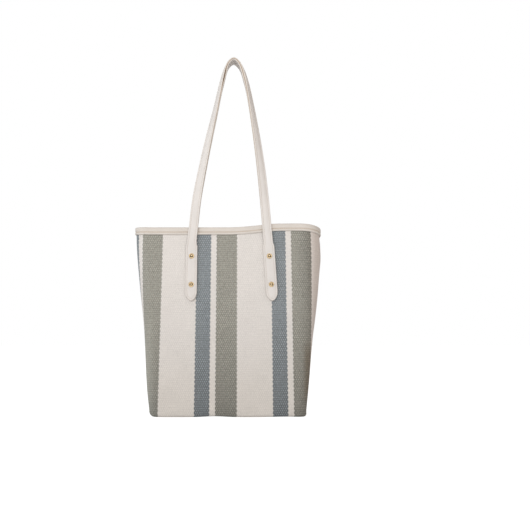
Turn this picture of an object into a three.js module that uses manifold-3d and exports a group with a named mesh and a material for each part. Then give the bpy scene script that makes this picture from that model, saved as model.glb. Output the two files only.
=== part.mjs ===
// A standing canvas tote bag, in millimetres, +Z up, origin at the middle of its base.
// Two striped canvas panels are sewn together at the sides and along the bottom, round a boxed base.
// Each panel carries one strap handle, riveted through its tab ends to a patch inside the canvas.
import * as THREE from "three";
import { mergeVertices } from "three/addons/utils/BufferGeometryUtils.js";
import Module from "manifold-3d";

const wasm = await Module();
wasm.setup();

// Driving dimensions of the bag.
const BODY_HEIGHT = 265;
const RIM_WIDTH = 270;
const RIM_DEPTH = 88;
const BASE_WIDTH = 216;
const BASE_DEPTH = 125;
const BASE_FILLET = 8;
const BASE_CORNER = 16;
const RIM_CORNER_X = 26;
const RIM_CORNER_Y = 28;
const SIDE_BULGE = 2;
const GAP = 0.3;

// Cloth, board and binding.
const CANVAS = 1.3;
const LINING = 0.5;
const LINING_INSET = 4.4;
const LINING_FILLET = 4;
const LINING_MEETS_CANVAS = 240;
const BOARD = 2;
const BOARD_CORNER = 8;
const BINDING = 1;
const BINDING_HEIGHT = 9.5;
const BINDING_TOP = 1.3;

// Strap, tab and rivets. Heights are above the base, offsets are from the canvas's outer face.
const STRAP_WIDTH = 13;
const STRAP = 3;
const TAB_WIDTH = 16;
const TAB_TIP = 158;
const TAB_TIP_LENGTH = 13;
const TAB_SHOULDER = 237;
const HINGE_HEIGHT = 241.4;
const RIVET_HEIGHTS = { upper: 221, lower: 181 };
const RIVET_RADIUS = 3.75;
const RIVET_DOME = 2.1;
const RIVET_RIM = 0.5;
const POST_RADIUS = 1.5;
const HOLE_RADIUS = POST_RADIUS + GAP;
const BACKING = 0.9;
const BACKING_RADIUS = 3.5;
const PATCH = 1;
const PATCH_WIDTH = 24;
const PATCH_MARGIN = 12;

// The strap of each panel. Its tabs hang from their upper rivets. The handle's centre line is given by its
// rise above the rim, half the distance between its two legs, how far the pair leans to the right, and how
// far out from the bag's middle it runs. The back handle stands a little wider.
const STRAPS = {
  front: {
    tabs: { left: { x: -50.6, lean: 0.4 }, right: { x: 58, lean: -3.5 } },
    stations: [
      { rise: HINGE_HEIGHT + GAP - BODY_HEIGHT, spread: 53.4, lean: 3.2, depth: 47.3 },
      { rise: 0, spread: 51.2, lean: 3.4, depth: 47 },
      { rise: 40, spread: 47.4, lean: 4, depth: 42 },
      { rise: 93, spread: 40.1, lean: 6, depth: 33.5 },
      { rise: 139, spread: 32.5, lean: 7.6, depth: 26 },
      { rise: 185, spread: 24, lean: 9, depth: 18 },
      { rise: 223, spread: 16.4, lean: 9.4, depth: 11 },
      { rise: 241, spread: 11, lean: 9, depth: 8 },
      { rise: 249, spread: 5.4, lean: 8.8, depth: 7.1 },
    ],
  },
  back: {
    tabs: { left: { x: -54.6, lean: 0.4 }, right: { x: 62.5, lean: -3.5 } },
    stations: [
      { rise: HINGE_HEIGHT + GAP - BODY_HEIGHT, spread: 57.9, lean: 3.4, depth: 47.3 },
      { rise: 0, spread: 56.2, lean: 3.6, depth: 47 },
      { rise: 40, spread: 52.6, lean: 4.2, depth: 42 },
      { rise: 93, spread: 44.6, lean: 6.2, depth: 33.5 },
      { rise: 139, spread: 36.2, lean: 7.8, depth: 26 },
      { rise: 185, spread: 26.7, lean: 9.2, depth: 18 },
      { rise: 223, spread: 18.4, lean: 9.5, depth: 11 },
      { rise: 241, spread: 12.4, lean: 9.1, depth: 8 },
      { rise: 249, spread: 6, lean: 8.8, depth: 7.1 },
    ],
  },
};
const HANDLE_CROWN = { rise: 252, lean: 8.9, depth: STRAP_WIDTH / 2 + GAP };
const HANDLE_STEPS = 56;
const TWIST_EVENNESS = 0.8;

// How finely the shells are divided: along a side, round a corner and across the front of a half section.
const SIDE_STEPS = 2;
const CORNER_STEPS = 6;
const FRONT_STEPS = 6;
const WALL_STEPS = 5;
const FILLET_STEPS = 3;
const BASE_STEPS = 3;
const COLUMNS = 2 * SIDE_STEPS + 2 * CORNER_STEPS + FRONT_STEPS;
const CENTRE_SEAM_SHARE = 0.65;

const CANVAS_TOP = BODY_HEIGHT - BINDING_TOP - GAP;
const CANVAS_RIM_WIDTH = RIM_WIDTH / 2 - BINDING - GAP;
const CANVAS_RIM_DEPTH = RIM_DEPTH / 2 - BINDING - GAP;
const WALL_HEIGHT = BODY_HEIGHT - BASE_FILLET;
const FACE_LEAN = Math.atan((BASE_DEPTH / 2 - CANVAS_RIM_DEPTH) / WALL_HEIGHT);

const { lerp, degToRad, smoothstep } = THREE.MathUtils;

function material(color, roughness, metalness = 0) {
  return new THREE.MeshStandardMaterial({ color, roughness, metalness });
}

const CANVAS_CLOTH = material(0xb9b5ad, 0.9);
const LINING_CLOTH = material(0xd8d0c4, 0.85);
const LEATHER = material(0xddd7d0, 0.5);
const BINDING_LEATHER = material(0xded5cc, 0.55);
const BRASS = material(0xc9a45c, 0.3, 1);
const STIFF_BOARD = material(0x6b5a48, 0.8);
const PATCH_CLOTH = material(0xf0ece4, 0.95);

function named(name, geometry, look) {
  const mesh = new THREE.Mesh(geometry, look);
  mesh.name = name;
  return mesh;
}

// A surface of triangles from a list of corner points and a flat list of their indices.
function surface(points, indices) {
  const geometry = new THREE.BufferGeometry().setFromPoints(points);
  geometry.setIndex(indices);
  geometry.computeVertexNormals();
  return geometry;
}

function quad(a, b, c, d) {
  return [a, b, c, a, c, d];
}

// A closed sheet between an outer and an inner grid of points, with its four borders filled.
// Seen from outside, columns run to the left and rows run down.
function thickSheet(outer, inner, columns, rows) {
  const points = [];
  for (const side of [outer, inner]) {
    for (let j = 0; j <= rows; j++) {
      for (let i = 0; i <= columns; i++) points.push(side(i, j));
    }
  }
  const layer = (columns + 1) * (rows + 1);
  const out = (i, j) => j * (columns + 1) + i;
  const back = (i, j) => layer + out(i, j);
  const indices = [];
  for (let j = 0; j < rows; j++) {
    for (let i = 0; i < columns; i++) {
      indices.push(...quad(out(i, j), out(i + 1, j), out(i + 1, j + 1), out(i, j + 1)));
      indices.push(...quad(back(i, j), back(i, j + 1), back(i + 1, j + 1), back(i + 1, j)));
    }
  }
  for (let i = 0; i < columns; i++) {
    indices.push(...quad(out(i + 1, 0), out(i, 0), back(i, 0), back(i + 1, 0)));
    indices.push(...quad(out(i, rows), out(i + 1, rows), back(i + 1, rows), back(i, rows)));
  }
  for (let j = 0; j < rows; j++) {
    indices.push(...quad(out(0, j), out(0, j + 1), back(0, j + 1), back(0, j)));
    indices.push(...quad(out(columns, j + 1), out(columns, j), back(columns, j), back(columns, j + 1)));
  }
  return surface(points, indices);
}

// The canvas's outer section at a height: half width, half depth and the reach of its rounded corners.
function section(height) {
  const rise = Math.max(height - BASE_FILLET, 0) / WALL_HEIGHT;
  const bulge = SIDE_BULGE * Math.sin(Math.PI * rise);
  return {
    width: lerp(BASE_WIDTH / 2, CANVAS_RIM_WIDTH, rise) + bulge,
    depth: lerp(BASE_DEPTH / 2, CANVAS_RIM_DEPTH, rise),
    cornerX: lerp(BASE_CORNER, RIM_CORNER_X, rise),
    cornerY: lerp(BASE_CORNER, RIM_CORNER_Y, rise),
  };
}

// A point on the front half of the section, from the right side seam round the front to the left one,
// moved in from the canvas's outer face by an inset. Column 0 is the right seam.
function sectionPoint(column, height, inset, seam) {
  const { width, depth, cornerX, cornerY } = section(height);
  const left = column > COLUMNS / 2;
  const k = left ? COLUMNS - column : column;
  const side = left ? -1 : 1;
  const cornerStart = depth - cornerY;
  const flat = width - cornerX;
  let x = width - inset;
  let y = lerp(seam, cornerStart, k / SIDE_STEPS);
  if (k > SIDE_STEPS) {
    const turn = (Math.min(k - SIDE_STEPS, CORNER_STEPS) / CORNER_STEPS) * (Math.PI / 2);
    x = flat + (cornerX - inset) * Math.cos(turn);
    y = cornerStart + (cornerY - inset) * Math.sin(turn);
  }
  if (k > SIDE_STEPS + CORNER_STEPS) {
    x = flat * (1 - (k - SIDE_STEPS - CORNER_STEPS) / (FRONT_STEPS / 2));
  }
  return new THREE.Vector3(side * x, -y, height);
}

// Heights of the wall rows: the top edge, the two ends of the lining's flare, then even steps down.
function wallHeights(top, bottom) {
  const heights = [top, BODY_HEIGHT - BINDING_HEIGHT - GAP];
  for (let j = 0; j <= WALL_STEPS; j++) heights.push(lerp(LINING_MEETS_CANVAS, bottom, j / WALL_STEPS));
  return heights;
}

// Rows of a half shell from its top edge down the wall and round the base fillet.
// Each row says how far in and how high the outer face is, and the same for the inner face.
function shellRows({ top, inset, thickness, fillet, floor, flare }) {
  const rows = wallHeights(top, floor + fillet).map((height) => {
    const out = flare ? flare(height) : inset;
    return { outer: [out, height], inner: [out + thickness, height] };
  });
  for (let j = 1; j <= FILLET_STEPS; j++) {
    const turn = (j / FILLET_STEPS) * (Math.PI / 2);
    const row = (radius) => [
      inset + fillet - radius * Math.cos(turn),
      floor + fillet - radius * Math.sin(turn),
    ];
    rows.push({ outer: row(fillet), inner: row(fillet - thickness) });
  }
  return rows;
}

// A front half shell: the wall rows, then the base, which closes in to the seam along the middle.
function halfShell(shape) {
  const rows = shellRows(shape);
  const lastRow = rows.length - 1;
  const seam = GAP / 2;
  const face = (name) => (i, j) => {
    const [inset, height] = rows[Math.min(j, lastRow)][name];
    const edge = sectionPoint(i, height, inset, seam);
    if (j <= lastRow) return edge;
    const halfSeam = (BASE_WIDTH / 2) * CENTRE_SEAM_SHARE;
    const middle = new THREE.Vector3(halfSeam * (1 - (2 * i) / COLUMNS), -seam, height);
    return edge.lerp(middle, (j - lastRow) / BASE_STEPS);
  };
  return thickSheet(face("outer"), face("inner"), COLUMNS, lastRow + BASE_STEPS);
}

// A closed geometry as a solid that can be cut, and back again.
function solidOf(geometry) {
  const bare = geometry.clone();
  bare.deleteAttribute("normal");
  bare.deleteAttribute("uv");
  const merged = mergeVertices(bare);
  return new wasm.Manifold(
    new wasm.Mesh({
      numProp: 3,
      vertProperties: merged.getAttribute("position").array,
      triVerts: new Uint32Array(merged.index.array),
    }),
  );
}

function geometryOf(solid) {
  const { vertProperties, triVerts } = solid.getMesh();
  const geometry = new THREE.BufferGeometry();
  geometry.setAttribute("position", new THREE.BufferAttribute(vertProperties, 3));
  geometry.setIndex(new THREE.BufferAttribute(triVerts, 1));
  geometry.computeVertexNormals();
  return geometry;
}

function drilled(geometry, cutters) {
  return geometryOf(cutters.reduce((solid, cutter) => solid.subtract(solidOf(cutter)), solidOf(geometry)));
}

// The lining hangs clear of the rivet backings, and meets the canvas under the binding.
function liningInset(height) {
  const meets = smoothstep(height, LINING_MEETS_CANVAS, BODY_HEIGHT - BINDING_HEIGHT - GAP);
  return lerp(LINING_INSET, CANVAS + GAP, meets);
}

function canvasPanel(cutters) {
  const shell = halfShell({
    top: CANVAS_TOP,
    inset: 0,
    thickness: CANVAS,
    fillet: BASE_FILLET,
    floor: 0,
  });
  return drilled(shell, cutters);
}

function liningPanel() {
  return halfShell({
    top: CANVAS_TOP,
    inset: LINING_INSET,
    thickness: LINING,
    fillet: LINING_FILLET,
    floor: CANVAS + BOARD + 2 * GAP,
    flare: liningInset,
  });
}

function roundedRectangle(width, height, radius) {
  const x = width / 2;
  const y = height / 2;
  const shape = new THREE.Shape();
  shape.absarc(x - radius, y - radius, radius, 0, Math.PI / 2);
  shape.absarc(radius - x, y - radius, radius, Math.PI / 2, Math.PI);
  shape.absarc(radius - x, radius - y, radius, Math.PI, 1.5 * Math.PI);
  shape.absarc(x - radius, radius - y, radius, 1.5 * Math.PI, 2 * Math.PI);
  return shape;
}

function plate(shape, depth, curveSegments) {
  return new THREE.ExtrudeGeometry(shape, { depth, curveSegments, bevelEnabled: false });
}

function baseBoard() {
  const width = BASE_WIDTH - 2 * BASE_FILLET;
  const depth = BASE_DEPTH - 2 * BASE_FILLET;
  const mesh = named(
    "base_board",
    plate(roundedRectangle(width, depth, BOARD_CORNER), BOARD, 4),
    STIFF_BOARD,
  );
  mesh.position.z = CANVAS + GAP;
  return mesh;
}

// The binding is a folded strip, open below, swept right round the rim. Its profile is a list of
// insets from the canvas's outer face and heights, from the outer lip over the top to the inner lip.
function rimBinding() {
  const lip = BODY_HEIGHT - BINDING_HEIGHT;
  const outer = -GAP - BINDING;
  const pocket = CANVAS + LINING + 2 * GAP;
  const inner = pocket + BINDING;
  const edge = BINDING_TOP / 2;
  const profile = [
    [-GAP, lip],
    [-GAP, BODY_HEIGHT - BINDING_TOP],
    [pocket, BODY_HEIGHT - BINDING_TOP],
    [pocket, lip],
    [inner, lip],
    [inner, BODY_HEIGHT - edge],
    [inner - edge, BODY_HEIGHT],
    [outer + edge, BODY_HEIGHT],
    [outer, BODY_HEIGHT - edge],
    [outer, lip],
  ];
  const around = 2 * COLUMNS;
  const points = [];
  for (let i = 0; i < around; i++) {
    const turned = i >= COLUMNS;
    for (const [inset, height] of profile) {
      const point = sectionPoint(turned ? i - COLUMNS : i, height, inset, 0);
      points.push(turned ? point.multiply(new THREE.Vector3(-1, -1, 1)) : point);
    }
  }
  const at = (i, j) => (i % around) * profile.length + (j % profile.length);
  const indices = [];
  for (let i = 0; i < around; i++) {
    for (let j = 0; j < profile.length; j++) {
      indices.push(...quad(at(i, j), at(i + 1, j), at(i + 1, j + 1), at(i, j + 1)));
    }
  }
  return named("rim_binding", surface(points, indices), BINDING_LEATHER);
}

// A flat-faced leather tab: a neck as wide as the strap, two round shoulders and a pointed round tip.
// It is drawn upright with the upper rivet at its origin, and both rivet holes go through it.
function tabShape() {
  const top = HINGE_HEIGHT - 2 * GAP - RIVET_HEIGHTS.upper;
  const shoulder = TAB_SHOULDER - RIVET_HEIGHTS.upper;
  const tip = TAB_TIP - RIVET_HEIGHTS.upper;
  const neck = STRAP_WIDTH / 2;
  const half = TAB_WIDTH / 2;
  const blend = 0.55 * TAB_TIP_LENGTH;
  const shape = new THREE.Shape();
  shape.moveTo(-neck, top);
  shape.quadraticCurveTo(-neck, shoulder + half - neck, -half, shoulder - half + neck);
  shape.lineTo(-half, tip + TAB_TIP_LENGTH);
  shape.bezierCurveTo(-half, tip + TAB_TIP_LENGTH - blend, -half / 2, tip, 0, tip);
  shape.bezierCurveTo(half / 2, tip, half, tip + TAB_TIP_LENGTH - blend, half, tip + TAB_TIP_LENGTH);
  shape.lineTo(half, shoulder - half + neck);
  shape.quadraticCurveTo(neck, shoulder + half - neck, neck, top);
  for (const height of Object.values(RIVET_HEIGHTS)) {
    const hole = new THREE.Path().absarc(0, height - RIVET_HEIGHTS.upper, HOLE_RADIUS, 0, 2 * Math.PI, true);
    shape.holes.push(hole);
  }
  return shape;
}

// A cloth patch inside the canvas that spreads the pull of the two rivets.
function patchShape() {
  const span = RIVET_HEIGHTS.upper - RIVET_HEIGHTS.lower;
  const shape = roundedRectangle(PATCH_WIDTH, span + 2 * PATCH_MARGIN, PATCH_MARGIN / 3);
  for (const y of [-span / 2, span / 2]) {
    shape.holes.push(new THREE.Path().absarc(0, y, HOLE_RADIUS, 0, 2 * Math.PI, true));
  }
  return shape;
}

// A rivet cap with its post, turned about the axis through the canvas. Offset 0 is the canvas's outer face.
function rivetGeometry() {
  const seat = STRAP + 2 * GAP;
  const postEnd = -CANVAS - PATCH - GAP;
  const outline = [
    new THREE.Vector2(0, postEnd),
    new THREE.Vector2(POST_RADIUS, postEnd),
    new THREE.Vector2(POST_RADIUS, seat),
    new THREE.Vector2(RIVET_RADIUS, seat),
  ];
  const domeSteps = 4;
  for (let k = 0; k < domeSteps; k++) {
    const turn = (k / domeSteps) * (Math.PI / 2);
    const height = seat + RIVET_RIM + (RIVET_DOME - RIVET_RIM) * Math.sin(turn);
    outline.push(new THREE.Vector2(RIVET_RADIUS * Math.cos(turn), height));
  }
  outline.push(new THREE.Vector2(0, seat + RIVET_DOME));
  return new THREE.LatheGeometry(outline, 16).rotateX(Math.PI / 2);
}

function backingGeometry() {
  const front = -CANVAS - PATCH - 3 * GAP;
  const outline = [
    new THREE.Vector2(0, front - BACKING),
    new THREE.Vector2(BACKING_RADIUS, front - BACKING),
    new THREE.Vector2(BACKING_RADIUS, front),
    new THREE.Vector2(0, front),
  ];
  return new THREE.LatheGeometry(outline, 16).rotateX(Math.PI / 2);
}

// A frame that lies on the panel's leaning face above the base fillet: X to the right, Y up the face,
// Z out of it.
function faceFrame() {
  const frame = new THREE.Group();
  frame.position.set(0, -BASE_DEPTH / 2, BASE_FILLET);
  frame.rotation.x = Math.PI / 2 - FACE_LEAN;
  return frame;
}

// The tab, its rivets, their backings and the patch of one strap end, round the upper rivet.
function strapEnd(panel, hand, { x, lean }) {
  const end = new THREE.Group();
  end.position.set(x, (RIVET_HEIGHTS.upper - BASE_FILLET) / Math.cos(FACE_LEAN), 0);
  end.rotation.z = degToRad(-lean);
  const tab = named(`${panel}_tab_${hand}`, plate(tabShape(), STRAP, 6), LEATHER);
  tab.position.z = GAP;
  const patch = named(`${panel}_patch_${hand}`, plate(patchShape(), PATCH, 5), PATCH_CLOTH);
  patch.position.set(0, (RIVET_HEIGHTS.lower - RIVET_HEIGHTS.upper) / 2, -CANVAS - GAP - PATCH);
  end.add(tab, patch);
  for (const [level, height] of Object.entries(RIVET_HEIGHTS)) {
    const rivet = named(`${panel}_rivet_${hand}_${level}`, rivetGeometry(), BRASS);
    const backing = named(`${panel}_rivet_backing_${hand}_${level}`, backingGeometry(), BRASS);
    for (const piece of [rivet, backing]) piece.position.y = height - RIVET_HEIGHTS.upper;
    end.add(rivet, backing);
  }
  return end;
}

// Cylinders that open the canvas round each rivet post of a face frame.
function rivetCutters(frame) {
  frame.updateMatrixWorld(true);
  const cutters = [];
  frame.traverse((piece) => {
    if (!/_rivet_(left|right)_/.test(piece.name)) return;
    const cutter = new THREE.CylinderGeometry(HOLE_RADIUS, HOLE_RADIUS, 6 * CANVAS, 12);
    cutters.push(cutter.rotateX(Math.PI / 2).applyMatrix4(piece.matrixWorld));
  });
  return cutters;
}

// The handle's centre line, up the left leg, over the crown and down the right leg.
function handleCurve(stations) {
  const leg = (side) =>
    stations.map(
      ({ rise, spread, lean, depth }) => new THREE.Vector3(side * spread + lean, -depth, BODY_HEIGHT + rise),
    );
  const { rise, lean, depth } = HANDLE_CROWN;
  const crown = new THREE.Vector3(lean, -depth, BODY_HEIGHT + rise);
  return new THREE.CatmullRomCurve3([...leg(-1), crown, ...leg(1).reverse()], false, "centripetal");
}

// A flat strap swept along the handle's centre line. It faces forward at the tabs and turns through
// half a turn on its way, so at the crown it lies on edge to the front and faces up.
function handleGeometry(stations) {
  const curve = handleCurve(stations);
  const frames = [];
  for (let i = 0; i <= HANDLE_STEPS; i++) {
    const along = i / HANDLE_STEPS;
    const turn = lerp(smoothstep(along, 0, 1), along, TWIST_EVENNESS) * Math.PI;
    const straightEnd = i === 0 || i === HANDLE_STEPS;
    const tangent = straightEnd
      ? new THREE.Vector3(0, 0, i === 0 ? 1 : -1)
      : curve.getTangentAt(along);
    const across = new THREE.Vector3(Math.cos(turn), -Math.sin(turn), 0);
    if (straightEnd) across.set(i === 0 ? 1 : -1, 0, 0);
    across.addScaledVector(tangent, -across.dot(tangent)).normalize();
    const outward = new THREE.Vector3().crossVectors(across, tangent);
    frames.push({ centre: curve.getPointAt(along), across, outward });
  }
  const face = (side) => (i, j) => {
    const { centre, across, outward } = frames[i];
    return centre
      .clone()
      .addScaledVector(across, (0.5 - j) * STRAP_WIDTH)
      .addScaledVector(outward, (side * STRAP) / 2);
  };
  return thickSheet(face(1), face(-1), HANDLE_STEPS, 1);
}

// Everything in front of the side seams. The back half is built the same way and then mirrored.
function half(panel) {
  const { tabs, stations } = STRAPS[panel];
  const group = new THREE.Group();
  const frame = faceFrame();
  for (const [hand, place] of Object.entries(tabs)) frame.add(strapEnd(panel, hand, place));
  group.add(
    named(`${panel}_panel`, canvasPanel(rivetCutters(frame)), CANVAS_CLOTH),
    named(`${panel}_lining`, liningPanel(), LINING_CLOTH),
    named(`${panel}_handle`, handleGeometry(stations), LEATHER),
    frame,
  );
  return group;
}

const front = half("front");
const back = half("back");
back.scale.y = -1;

const tote = new THREE.Group();
tote.add(front, back, baseBoard(), rimBinding());

export default tote;
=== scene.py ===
"""The looks of a standing canvas tote bag: woven striped canvas, a leather-bound rim, riveted strap handles.

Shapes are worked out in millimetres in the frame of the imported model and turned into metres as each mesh
is made. The back is built like the front, with slackness of its own, and mirrored.
"""

import math

import bmesh
import bpy
import numpy as np
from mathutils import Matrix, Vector


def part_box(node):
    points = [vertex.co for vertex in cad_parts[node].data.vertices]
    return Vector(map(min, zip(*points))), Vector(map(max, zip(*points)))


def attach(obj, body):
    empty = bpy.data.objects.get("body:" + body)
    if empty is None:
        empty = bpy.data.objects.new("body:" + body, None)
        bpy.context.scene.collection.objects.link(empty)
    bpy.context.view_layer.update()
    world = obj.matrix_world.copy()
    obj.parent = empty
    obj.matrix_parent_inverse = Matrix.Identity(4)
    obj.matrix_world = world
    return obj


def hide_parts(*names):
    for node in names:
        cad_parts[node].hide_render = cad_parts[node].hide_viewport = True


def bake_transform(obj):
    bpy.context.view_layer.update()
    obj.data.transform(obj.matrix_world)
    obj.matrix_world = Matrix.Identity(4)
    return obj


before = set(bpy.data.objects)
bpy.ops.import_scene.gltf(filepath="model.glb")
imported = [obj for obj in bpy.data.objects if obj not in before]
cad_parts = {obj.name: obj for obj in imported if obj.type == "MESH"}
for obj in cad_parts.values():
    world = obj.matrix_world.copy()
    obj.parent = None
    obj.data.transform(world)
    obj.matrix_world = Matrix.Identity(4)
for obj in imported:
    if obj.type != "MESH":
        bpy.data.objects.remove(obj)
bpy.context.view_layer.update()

# Millimetres in a metre.
MM = 1000.0


def box_mm(node):
    """Lowest and highest corner of a CAD node, in millimetres."""
    low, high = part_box(node)
    return np.array(low) * MM, np.array(high) * MM


# Each panel and the sign of its side: the front is built as drawn, the back is its mirror.
HALVES = (("front", 1), ("back", -1))

# Main sizes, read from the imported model.
panel_low, panel_high = box_mm("front_panel")
BODY_HEIGHT = box_mm("rim_binding")[1][2]
BASE_DEPTH = -2 * panel_low[1]
CANVAS_TOP = panel_high[2]
CANVAS_RIM_HALF_WIDTH = panel_high[0]

# The bag's section. The rim's corners and pull and the narrow seam are the visual model's own; the rest is as
# in the CAD source.
BASE_FILLET = 8.0
BASE_HALF_WIDTH = box_mm("base_board")[1][0] + BASE_FILLET
BASE_CORNER = 16.0
RIM_CORNER_X = {"left": 18.0, "right": 27.0}
RIM_CORNER_Y = {"left": 20.0, "right": 28.0}
RIM_PULL = {"left": 2.6, "right": 1.2}
SIDE_BULGE = 2.0
CANVAS_RIM_HALF_DEPTH = 42.7
WALL_HEIGHT = BODY_HEIGHT - BASE_FILLET
SEAM = 0.02
CANVAS = 1.3
LINING = 0.5
LINING_INSET = 4.4
LINING_FILLET = 4.0
LINING_FLOOR = 3.9
LINING_MEETS_CANVAS = 240.0
BINDING_HEIGHT = 9.5
CENTRE_SEAM_SHARE = 0.65

# The strap, its tabs and its rivets.
STRAP_HALF_WIDTH = 6.5
STRAP_HALF_THICKNESS = 1.5
TAB_HALF_WIDTH = 8.0
TAB_TIP = 158.0
TAB_TIP_LENGTH = 13.0
TAB_SHOULDER = 237.0
TAB_GAP = 0.3
HANDLE_START = 241.7
RIVET_HEIGHTS = (221.0, 181.0)
POST_RADIUS = 1.5
POST_END = -2.6

# Each panel's strap, as in the CAD source. Tabs: place across the panel and lean in degrees. Stations of the
# handle's centre line: rise above the rim, half the distance between the legs, lean to the right and depth
# in front of the bag's middle. The first is where the handle starts, below a rim drawn at 265.
TABS = {
    "front": {"left": (-50.6, 0.4), "right": (58.0, -3.5)},
    "back": {"left": (-54.6, 0.4), "right": (62.5, -3.5)},
}
START_RISE = HANDLE_START - 265.0
HANDLE_STATIONS = {
    "front": (
        (START_RISE, 53.4, 3.2, 47.3), (0.0, 51.2, 3.4, 47.0), (40.0, 47.4, 4.0, 42.0),
        (93.0, 40.1, 6.0, 33.5), (139.0, 32.5, 7.6, 26.0), (185.0, 24.0, 9.0, 18.0), (223.0, 16.4, 9.4, 11.0),
        (241.0, 11.0, 9.0, 8.0), (249.0, 5.4, 8.8, 7.1),
    ),
    "back": (
        (START_RISE, 57.9, 3.4, 47.3), (0.0, 56.2, 3.6, 47.0), (40.0, 52.6, 4.2, 42.0),
        (93.0, 44.6, 6.2, 33.5), (139.0, 36.2, 7.8, 26.0), (185.0, 26.7, 9.2, 18.0), (223.0, 18.4, 9.5, 11.0),
        (241.0, 12.4, 9.1, 8.0), (249.0, 6.0, 8.8, 7.1),
    ),
}
# The crown's rise above the rim, its lean to the right and its depth in front of the bag's middle.
HANDLE_CROWN = (252.0, 8.9, 6.8)
STRAP_SAMPLES = 1500
# How evenly the strap's half turn is spread over the handle.
TWIST_EVENNESS = 0.8
# How much thicker the strap is beside its crown, and where: centre and reach from the crown.
LOOSE_LAYERS = 0.45
LOOSE_PLACE = (30.0, 20.0)


def lerp(a, b, t):
    return a + (b - a) * t


def smooth(x, low, high):
    """0 below low, 1 above high, and an even curve between them."""
    t = np.clip((x - low) / (high - low), 0.0, 1.0)
    return t * t * (3 - 2 * t)


def hump(x, centre, width):
    return np.exp(-(((x - centre) / width) ** 2))


def unit(vectors):
    return vectors / np.linalg.norm(vectors, axis=-1, keepdims=True)


def run_length(line):
    """The distance along a line of points from its start to each of them."""
    return np.concatenate([[0.0], np.cumsum(np.linalg.norm(np.diff(line, axis=0), axis=1))])


def sampled(table, grown, at):
    """The rows of a table at distances along its line."""
    return np.stack([np.interp(at, grown, column) for column in table.T], axis=-1)


# ---- meshes


def lattice(rows, columns, closed_rows=False, closed_columns=False):
    """Quads of a grid of points kept row by row, and the row and column of each corner before wrapping."""
    last_row = rows if closed_rows else rows - 1
    last_column = columns if closed_columns else columns - 1
    j, i = np.meshgrid(np.arange(last_row), np.arange(last_column), indexing="ij")
    j, i = j.ravel(), i.ravel()
    corner_rows = np.stack([j, j, j + 1, j + 1], axis=1)
    corner_columns = np.stack([i, i + 1, i + 1, i], axis=1)
    quads = (corner_rows % rows) * columns + corner_columns % columns
    return quads, corner_rows, corner_columns


def finished(name, points, faces, look, corner_uv=None, weld=0.0):
    """A smooth-shaded object from points in millimetres, with its faces turned outwards."""
    mesh = bpy.data.meshes.new(name)
    mesh.from_pydata((np.asarray(points) / MM).tolist(), [], [tuple(f) for f in faces])
    if corner_uv is not None:
        layer = mesh.uv_layers.new(name="cloth")
        layer.data.foreach_set("uv", np.asarray(corner_uv, np.float32).ravel())
    cage = bmesh.new()
    cage.from_mesh(mesh)
    if weld:
        bmesh.ops.remove_doubles(cage, verts=cage.verts, dist=weld / MM)
    bmesh.ops.recalc_face_normals(cage, faces=cage.faces)
    cage.to_mesh(mesh)
    cage.free()
    mesh.shade_smooth()
    mesh.materials.append(look)
    piece = bpy.data.objects.new(name, mesh)
    bpy.context.scene.collection.objects.link(piece)
    return piece


# ---- the bag's section

QUARTER = np.linspace(0, math.pi / 2, 33)


def section(share, height):
    """Half width, half depth and the reach of the rounded corners of the canvas's outer face."""
    rise = np.clip((height - BASE_FILLET) / WALL_HEIGHT, 0, 1)
    corner_x, corner_y, pull = (
        np.where(share < 0, ends["left"], ends["right"]) for ends in (RIM_CORNER_X, RIM_CORNER_Y, RIM_PULL)
    )
    return (
        lerp(BASE_HALF_WIDTH, CANVAS_RIM_HALF_WIDTH - pull, rise) + SIDE_BULGE * np.sin(math.pi * rise),
        lerp(BASE_DEPTH / 2, CANVAS_RIM_HALF_DEPTH, rise),
        lerp(BASE_CORNER, corner_x, rise),
        lerp(BASE_CORNER, corner_y, rise),
    )


def outline(share, height, inset, seam=SEAM):
    """Points of the front half of the section, from share -1 at the left seam to 1 at the right one.
    Gives x, y, the outward direction in plan and the distance along the cloth from the middle."""
    share, height, inset = np.broadcast_arrays(share, height, inset)
    width, depth, corner_x, corner_y = section(share, height)
    steps = np.hypot(
        corner_x[..., None] * np.diff(np.sin(QUARTER)),
        corner_y[..., None] * np.diff(np.cos(QUARTER)),
    )
    grown = np.concatenate([np.zeros(share.shape + (1,)), np.cumsum(steps, axis=-1)], axis=-1)
    flat = width - corner_x
    corner = grown[..., -1]
    along = np.abs(share) * (flat + corner + depth - corner_y - seam)
    in_corner = np.clip(along - flat, 0, corner)
    k = np.clip((grown <= in_corner[..., None]).sum(-1) - 1, 0, len(QUARTER) - 2)
    low = np.take_along_axis(grown, k[..., None], -1)[..., 0]
    high = np.take_along_axis(grown, k[..., None] + 1, -1)[..., 0]
    turn = QUARTER[k] + (in_corner - low) / (high - low) * (QUARTER[1] - QUARTER[0])
    x = np.where(along < flat, along, flat + (corner_x - inset) * np.sin(turn))
    y = -(depth - corner_y) - (corner_y - inset) * np.cos(turn)
    y = y + np.clip(along - flat - corner, 0, None)
    out_x, out_y = np.sin(turn) / corner_x, -np.cos(turn) / corner_y
    size = np.hypot(out_x, out_y)
    side = np.where(share < 0, -1.0, 1.0)
    return side * x, y, side * out_x / size, out_y / size, side * along


# ---- slackness of the cloth

# Lift of the rim at distances along it from the middle of the front, left to right.
RIM_LIFT = {
    "front": ((-166, 0.2), (-146, -0.6), (-132, -1.8), (-112, -2.6), (10, -2.6), (36, -0.6), (62, 2.6),
              (98, 3.0), (112, 2.6), (126, 0.8), (140, -1.6), (152, -2.8), (162, -3.0)),
    "back": ((-166, 0.2), (-140, -1.0), (-90, -2.2), (-30, -3.0), (30, -3.2), (80, -2.2), (120, -2.4),
             (162, -3.0)),
}
LIFT_FROM = 196.0
LIFT_SOFTNESS = 9.0
LIFT_SAMPLES = 7

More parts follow.
